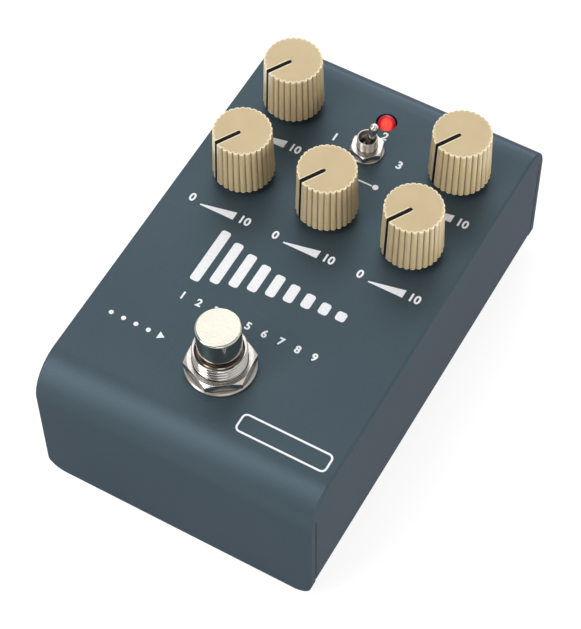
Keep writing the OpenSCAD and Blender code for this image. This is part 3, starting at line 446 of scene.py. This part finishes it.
def outline_rows(shape, *outlines):
    """Rows of new vertices, one for each pair of an outline and its height."""
    return [[shape.verts.new((x, y, z)) for x, y in outline] for outline, z in outlines]


def finished_mesh(name, shape):
    """Mesh of a built shape, with its faces turned outwards."""
    bmesh.ops.recalc_face_normals(shape, faces=shape.faces)
    mesh = bpy.data.meshes.new(name)
    shape.to_mesh(mesh)
    shape.free()
    return mesh


# Pieces made here


def piece(name, mesh, finish, body, sharp=35):
    """Object from a mesh that is in place, smooth but for edges sharper than the angle in degrees."""
    mesh.polygons.foreach_set("use_smooth", [True] * len(mesh.polygons))
    mesh.set_sharp_from_angle(angle=math.radians(sharp))
    mesh.materials.append(finish)
    made = bpy.data.objects.new(name, mesh)
    scene.collection.objects.link(made)
    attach(made, body)
    return made


def thread_dip(angle, z, pitch, depth):
    """How far a thread's surface lies below its crest at an angle and height."""
    return depth * (1 - math.cos(math.tau * z / pitch - angle)) / 2


def thread_heights(low, high, pitch, steps=10):
    """Heights that are close enough together to carry a thread."""
    count = math.ceil((high - low) / pitch * steps)
    return [low + (high - low) * i / count for i in range(count + 1)]


def turned_ring(profile, axis, thread_low, thread_high, pitch, depth, segments=120):
    """Shape turned round an upright axis from a closed profile of (radius, height) points.
    Points between the thread's low and high, on the outer side, follow its helix."""
    outer = max(radius for radius, z in profile)
    shape = bmesh.new()
    rings = []
    for i in range(segments):
        angle = math.tau * i / segments
        ring = []
        for radius, z in profile:
            if thread_low <= z <= thread_high and radius == outer:
                radius -= thread_dip(angle, z, pitch, depth)
            x = axis.x + radius * math.cos(angle)
            y = axis.y + radius * math.sin(angle)
            ring.append(shape.verts.new((x, y, z)))
        rings.append(ring)
    for ring, following in zip(rings, rings[1:] + rings[:1]):
        bridge(shape, ring, following)
    return shape


def footswitch_bush():
    """Threaded bush of the footswitch, with a broad rim round its open mouth, whose inside is painted
    dark as shade.
    """
    pitch = 1.0 * MM
    depth = 0.45 * MM
    rim = 0.15 * MM
    lip = 0.08 * MM
    cap_gap = 0.15 * MM
    mouth_step = 1.0 * MM
    mouth_depth = 1.7 * MM
    low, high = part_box("footswitch_bushing")
    crest = half_width("footswitch_bushing")
    mouth = half_width("footswitch_cap") + cap_gap
    bore = mouth - mouth_step
    thread_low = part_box("footswitch_nut")[1].z - pitch
    thread_high = high.z - rim
    profile = [(bore, low.z), (crest, low.z)]
    profile += [(crest, z) for z in thread_heights(thread_low, thread_high, pitch)]
    profile += [
        (crest - rim, high.z),
        (mouth + lip, high.z),
        (mouth, high.z - lip),
        (mouth, high.z - mouth_depth),
        (bore, high.z - mouth_depth),
    ]
    shape = turned_ring(profile, footswitch, thread_low, thread_high, pitch, depth)
    mesh = finished_mesh("footswitch_bush", shape)
    made = piece("footswitch_bush", mesh, thread_nickel, "case", THREAD_SHARP)
    # Faces inside the mouth take the painted shade
    mesh.materials.append(mouth_shade_nickel)
    for face in mesh.polygons:
        from_axis = (face.center - footswitch).xy
        if from_axis.length < crest - depth - rim:
            face.material_index = 1
    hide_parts("footswitch_bushing")


def add_plate(shape, outer, inner, low_z, high_z):
    """Flat plate between two outlines with the same number of points, added to a shape."""
    rows = outline_rows(shape, (outer, low_z), (outer, high_z), (inner, high_z), (inner, low_z))
    for first, second in zip(rows, rows[1:] + rows[:1]):
        bridge(shape, first, second)


def toggle_bush():
    """Threaded bush of the toggle, thin at its flared mouth, on the frame plate of the switch."""
    crest = 2.35 * MM
    bore = 1.95 * MM
    pitch = 0.5 * MM
    depth = 0.16 * MM
    rim = 0.1 * MM
    flare = 0.15 * MM
    plate_thick = 0.6 * MM
    plate_corner = 0.5 * MM
    low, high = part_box("toggle_bushing")
    thread_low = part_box("toggle_nut")[1].z - pitch
    thread_high = high.z - rim
    profile = [(bore, low.z), (crest, low.z)]
    profile += [(crest, z) for z in thread_heights(thread_low, thread_high, pitch)]
    profile += [(crest - rim, high.z), (bore + flare, high.z), (bore, high.z - 2 * flare)]
    shape = turned_ring(profile, toggle, thread_low, thread_high, pitch, depth)
    plate = rounded_box(toggle.x, toggle.y, high.x - low.x, high.y - low.y, plate_corner)
    hole = dot(toggle.x, toggle.y, crest, len(plate))
    add_plate(shape, plate, hole, low.z, low.z + plate_thick)
    mesh = finished_mesh("toggle_bush", shape)
    made = piece("toggle_bush", mesh, bush_nickel, "case", THREAD_SHARP)
    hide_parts("toggle_bushing")


def return_spring():
    """Return spring of the footswitch: the node's own coil, as a piece with a mesh of its own."""
    node = "footswitch_spring"
    finish = "spring_steel"
    made = piece("return_spring", nodes[node].data.copy(), FINISHES[finish], "case")
    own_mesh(made)
    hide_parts(node)


def pointer_rows(reaches, half, low_z, high_z):
    """Rows of a pointer, from its round inner end over the knob's rim and down the side.
    A row is its distance from the axis, its height, its half width and its lean in radians."""
    proud = 0.08 * MM
    corner = 0.15 * MM
    corner_cut = 0.3 * corner
    end_steps = 6
    start = min(reach for reach, z in reaches)
    upper = max(reach for reach, z in reaches if z > high_z - corner) + proud
    lower = max(reach for reach, z in reaches) + proud
    top = high_z + proud
    rows = []
    for i in range(1, end_steps + 1):
        turn = math.pi / 2 * i / end_steps
        rows.append((start - half * math.cos(turn), top, half * math.sin(turn), 0.0))
    rows.append((upper - corner, top, half, 0.0))
    rows.append((upper - corner_cut, top - corner_cut, half, math.pi / 4))
    rows.append((upper, top - corner, half, math.pi / 2))
    rows.append((lower, low_z, half, math.pi / 2))
    return rows


def pointer_line(name):
    """Pointer of one knob: the node's own line with a round inner end, a touch proud of the cream."""
    thick = 0.3 * MM
    node = "pointer_" + name
    finish = "pointer_black"
    axis = middle("shaft_" + name).xy
    low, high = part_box(node)
    points = [(vertex.co.xy - axis, vertex.co.z) for vertex in nodes[node].data.vertices]
    along = sum((at for at, z in points), Vector((0, 0))).normalized()
    across = Vector((-along.y, along.x))
    half = max(at.dot(across) for at, z in points)
    reaches = [(at.dot(along), z) for at, z in points]
    shape = bmesh.new()
    sections = []
    for reach, z, side, lean in pointer_rows(reaches, half, low.z, high.z):
        section = []
        for inwards, out in ((0, 1), (0, -1), (thick, -1), (thick, 1)):
            at = axis + along * (reach - inwards * math.sin(lean)) + across * (side * out)
            section.append(shape.verts.new((at.x, at.y, z - inwards * math.cos(lean))))
        sections.append(section)
    for first, second in zip(sections, sections[1:]):
        bridge(shape, first, second)
    shape.faces.new(sections[0])
    shape.faces.new(sections[-1])
    mesh = finished_mesh("pointer_line_" + name, shape)
    line = piece("pointer_line_" + name, mesh, FINISHES[finish], name + "_control")
    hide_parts(node)


# Printed marks


class Print:
    """Flat white shapes on the top panel, gathered into one mesh."""

    def __init__(self):
        self.shapes = bmesh.new()

    def shape(self, outline):
        """Filled outline of (x, y) points, one film of ink high."""
        low, high = outline_rows(self.shapes, (outline, panel_z), (outline, panel_z + INK))
        self.shapes.faces.new(high)
        bridge(self.shapes, low, high)

    def band(self, outer, inner):
        """Filled space between two outlines with the same number of points."""
        top = panel_z + INK
        edges = ((outer, panel_z), (outer, top), (inner, top), (inner, panel_z))
        rows = outline_rows(self.shapes, *edges)
        for first, second in zip(rows, rows[1:]):
            bridge(self.shapes, first, second)

    def numeral(self, text, height, x, y):
        """Plain number of a height, centred on a place."""
        font_height = 0.73
        bolder = 0.045
        curve = bpy.data.curves.new("numeral", "FONT")
        curve.body = text
        curve.size = height / font_height
        curve.offset = bolder * height
        curve.align_x = "CENTER"
        curve.align_y = "CENTER"
        curve.extrude = INK / 2
        curve.resolution_u = 5
        holder = bpy.data.objects.new("numeral", curve)
        scene.collection.objects.link(holder)
        bpy.context.view_layer.update()
        graph = bpy.context.evaluated_depsgraph_get()
        mesh = bpy.data.meshes.new_from_object(holder.evaluated_get(graph))
        corners = holder.bound_box
        middle_x = sum(corner[0] for corner in corners) / len(corners)
        middle_y = sum(corner[1] for corner in corners) / len(corners)
        mesh.transform(Matrix.Translation((x - middle_x, y - middle_y, panel_z + INK / 2)))
        self.shapes.from_mesh(mesh)
        bpy.data.objects.remove(holder)
        bpy.data.curves.remove(curve)
        bpy.data.meshes.remove(mesh)

    def finish(self, name):
        """The gathered shapes as one piece on the case."""
        return piece(name, finished_mesh(name, self.shapes), ink, "case")


def knob_scales(marks):
    """In front of each knob, a wedge that grows from 0 to 10."""
    in_front = 11.3 * MM
    height = 2.1 * MM
    wedge = 4.2 * MM
    thin = 0.3 * MM
    zero_out = 6.6 * MM
    ten_out = 6.9 * MM
    for name in KNOBS:
        knob = middle("shaft_" + name)
        y = knob.y - in_front
        foot = y - height / 2
        left = knob.x - wedge
        right = knob.x + wedge
        marks.shape([(left, foot), (right, foot), (right, foot + height), (left, foot + thin)])
        marks.numeral("0", height, knob.x - zero_out, y)
        marks.numeral("10", height, knob.x + ten_out, y)


def toggle_numbers(marks):
    """Plain numbers for the toggle's three positions, and a rail with three dots in front of it."""
    height = 2.1 * MM
    beside = 8.2 * MM
    behind = 5.6 * MM
    behind_right = 1.6 * MM
    in_front = 8.0 * MM
    rail = 6.4 * MM
    line = 0.35 * MM
    dot_r = 2 * line
    rail_gap = 2.5 * line
    marks.numeral("1", height, toggle.x - beside, toggle.y)
    marks.numeral("2", height, toggle.x + behind_right, toggle.y + behind)
    marks.numeral("3", height, toggle.x + beside, toggle.y)
    y = toggle.y - in_front
    for step in (-1, 0, 1):
        marks.shape(dot(toggle.x + step * rail, y, dot_r))
    for half_step in (-0.5, 0.5):
        marks.shape(rounded_box(toggle.x + half_step * rail, y, rail - 2 * rail_gap, line, line / 4))


def echo_bars(marks):
    """Row of bars that die away to the right, with a plain number under each."""
    count = 9
    pitch = 4.05 * MM
    width = 2.3 * MM
    corner = 0.3 * width
    tallest = 14.6 * MM
    fade = 0.8
    behind = 23.2 * MM
    number_drop = 11.7 * MM
    number_height = 1.9 * MM
    y = footswitch.y + behind
    for i in range(count):
        x = footswitch.x + (i - (count - 1) / 2) * pitch
        marks.shape(rounded_box(x, y, width, tallest * fade**i, corner))
        marks.numeral(str(i + 1), number_height, x, y - number_drop)


def press_marks(marks):
    """Dots and an arrowhead that lead to the footswitch from the left."""
    count = 4
    start = -27.4 * MM
    pitch = 3.1 * MM
    dot_r = 0.55 * MM
    behind = 0.3 * MM
    arrow_half = 0.95 * MM
    arrow_long = 1.52 * MM
    tip_steps = 4.3
    y = footswitch.y + behind
    for i in range(count):
        marks.shape(dot(footswitch.x + start + i * pitch, y, dot_r))
    tip = footswitch.x + start + tip_steps * pitch
    tail = tip - arrow_long
    marks.shape([(tail, y - arrow_half), (tip, y), (tail, y + arrow_half)])


def write_on_field(marks):
    """Empty field with a round-cornered border, near the front edge on the right."""
    width = 21.6 * MM
    height = 4.8 * MM
    line = 0.45 * MM
    radius = 1.3 * MM
    to_right = 20.8 * MM
    in_front = 9.6 * MM
    x = footswitch.x + to_right
    y = footswitch.y - in_front
    outer = rounded_box(x, y, width, height, radius)
    inner = rounded_box(x, y, width - 2 * line, height - 2 * line, radius - line)
    marks.band(outer, inner)


def panel_print():
    """All the white marks on the top panel."""
    marks = Print()
    knob_scales(marks)
    toggle_numbers(marks)
    echo_bars(marks)
    press_marks(marks)
    write_on_field(marks)
    marks.finish("panel_print")


# Studio


# Soft lights: name, place and size in metres, power in watts, and whether reflections show them
SOFTBOXES = (
    ("overhead", (-0.48, 0.95, 1.02), (1.2, 1.1), 7.8, True),
    ("rear", (-0.22, 1.1, 0.5), (0.9, 0.4), 4.2, False),
    ("rear low", (-0.25, 1.2, 0.14), (0.9, 0.22), 4.5, True),
    ("front", (-0.42, -0.65, 0.71), (0.4, 1.9), 11.0, True),
    ("top", (-0.32, 0.08, 1.2), (0.5, 0.5), 1.2, True),
    ("front fill", (0.65, -0.95, 0.35), (0.6, 0.5), 2.2, True),
    ("right", (0.95, -0.05, 0.22), (0.6, 0.4), 5.5, False),
)


def add_camera():
    """Camera at the photograph's own place, direction and focal length."""
    at = Vector((136.672, -239.006, 440.218)) * MM
    right = Vector((0.87056, 0.49197, -0.0093))
    down = Vector((0.40916, -0.73427, -0.5417))
    forward = Vector((-0.27333, 0.46778, -0.84052))
    data = bpy.data.cameras.new("camera")
    data.sensor_width = 36
    data.lens = 127.45
    data.clip_start = 0.01
    data.clip_end = 50
    made = bpy.data.objects.new("camera", data)
    turn = Matrix((right, -down, -forward)).transposed()
    made.matrix_world = Matrix.Translation(at) @ turn.to_4x4()
    scene.collection.objects.link(made)
    scene.camera = made


def add_softbox(name, at, size, power, mirrored):
    """Rectangular soft light that faces the pedal, and shows in its reflections or not."""
    aim = Vector((0, 0, 0.03))
    data = bpy.data.lights.new(name, "AREA")
    data.shape = "RECTANGLE"
    data.size, data.size_y = size
    data.energy = power
    made = bpy.data.objects.new(name, data)
    made.location = at
    made.rotation_euler = (aim - Vector(at)).to_track_quat("-Z", "Y").to_euler()
    made.visible_glossy = mirrored
    scene.collection.objects.link(made)


def seen_rays(tree):
    """1 for what the camera sees, directly, in a reflection or through glass."""
    rays = add(tree, "ShaderNodeLightPath").outputs
    either = maths(tree, "MAXIMUM", rays["Is Camera Ray"], rays["Is Glossy Ray"])
    return maths(tree, "MAXIMUM", either, rays["Is Transmission Ray"])


def room_shade(tree):
    """How bright reflections of the room are: white low down, dark overhead but for the right,
    and dimmer in front."""
    dark = 0.12
    dim = 0.35
    towards = axes(tree, add(tree, "ShaderNodeTexCoord").outputs["Generated"])
    to_right = spread(tree, towards["X"], 0.05, 0.4, dark, 1.0)
    overhead = spread(tree, towards["Z"], 0.3, 0.75, 1.0, to_right)
    in_front = spread(tree, towards["Y"], -0.8, -0.2, dim, 1.0)
    return maths(tree, "MULTIPLY", overhead, in_front)


def add_world():
    """Studio with a white backdrop, which gives a weak, even light."""
    even_light = 0.18
    world = bpy.data.worlds.new("studio")
    scene.world = world
    world.use_nodes = True
    tree = world.node_tree
    tree.nodes.clear()
    camera_ray = add(tree, "ShaderNodeLightPath").outputs["Is Camera Ray"]
    shade = maths(tree, "MAXIMUM", camera_ray, room_shade(tree))
    light = add(tree, "ShaderNodeBackground", {"Color": WHITE, "Strength": even_light}).outputs[0]
    white = add(tree, "ShaderNodeBackground", {"Color": WHITE, "Strength": shade}).outputs[0]
    both = add(tree, "ShaderNodeMixShader", {0: seen_rays(tree), 1: light, 2: white}).outputs[0]
    add(tree, "ShaderNodeOutputWorld", {"Surface": both})


def floor_finish():
    """Pale paper that looks white, and darker in the pedal's soft shadow."""
    paper_colour = (0.95, 0.95, 0.95, 1)
    shade_colour = (0.22, 0.22, 0.22, 1)
    glow = 0.86
    made = bpy.data.materials.new("pale_floor")
    made.use_nodes = True
    tree = made.node_tree
    tree.nodes.clear()
    paper = add(tree, "ShaderNodeBsdfDiffuse", {"Color": paper_colour}).outputs[0]
    shade = add(tree, "ShaderNodeBsdfDiffuse", {"Color": shade_colour}).outputs[0]
    white = add(tree, "ShaderNodeEmission", {"Color": WHITE, "Strength": glow}).outputs[0]
    seen = add(tree, "ShaderNodeAddShader", {0: shade, 1: white}).outputs[0]
    both = add(tree, "ShaderNodeMixShader", {0: seen_rays(tree), 1: paper, 2: seen}).outputs[0]
    add(tree, "ShaderNodeOutputMaterial", {"Surface": both})
    return made


def add_floor():
    """Broad floor under the feet."""
    half_side = 6
    shape = bmesh.new()
    bmesh.ops.create_grid(shape, x_segments=1, y_segments=1, size=half_side)
    mesh = bpy.data.meshes.new("floor")
    shape.to_mesh(mesh)
    shape.free()
    mesh.materials.append(floor_finish())
    floor = bpy.data.objects.new("floor", mesh)
    scene.collection.objects.link(floor)


add_camera()
add_world()
add_floor()
for softbox in SOFTBOXES:
    add_softbox(*softbox)
scene.view_settings.view_transform = "Standard"

dress_nodes()
footswitch_bush()
toggle_bush()
return_spring()
for place_name in KNOBS:
    pointer_line(place_name)
panel_print()
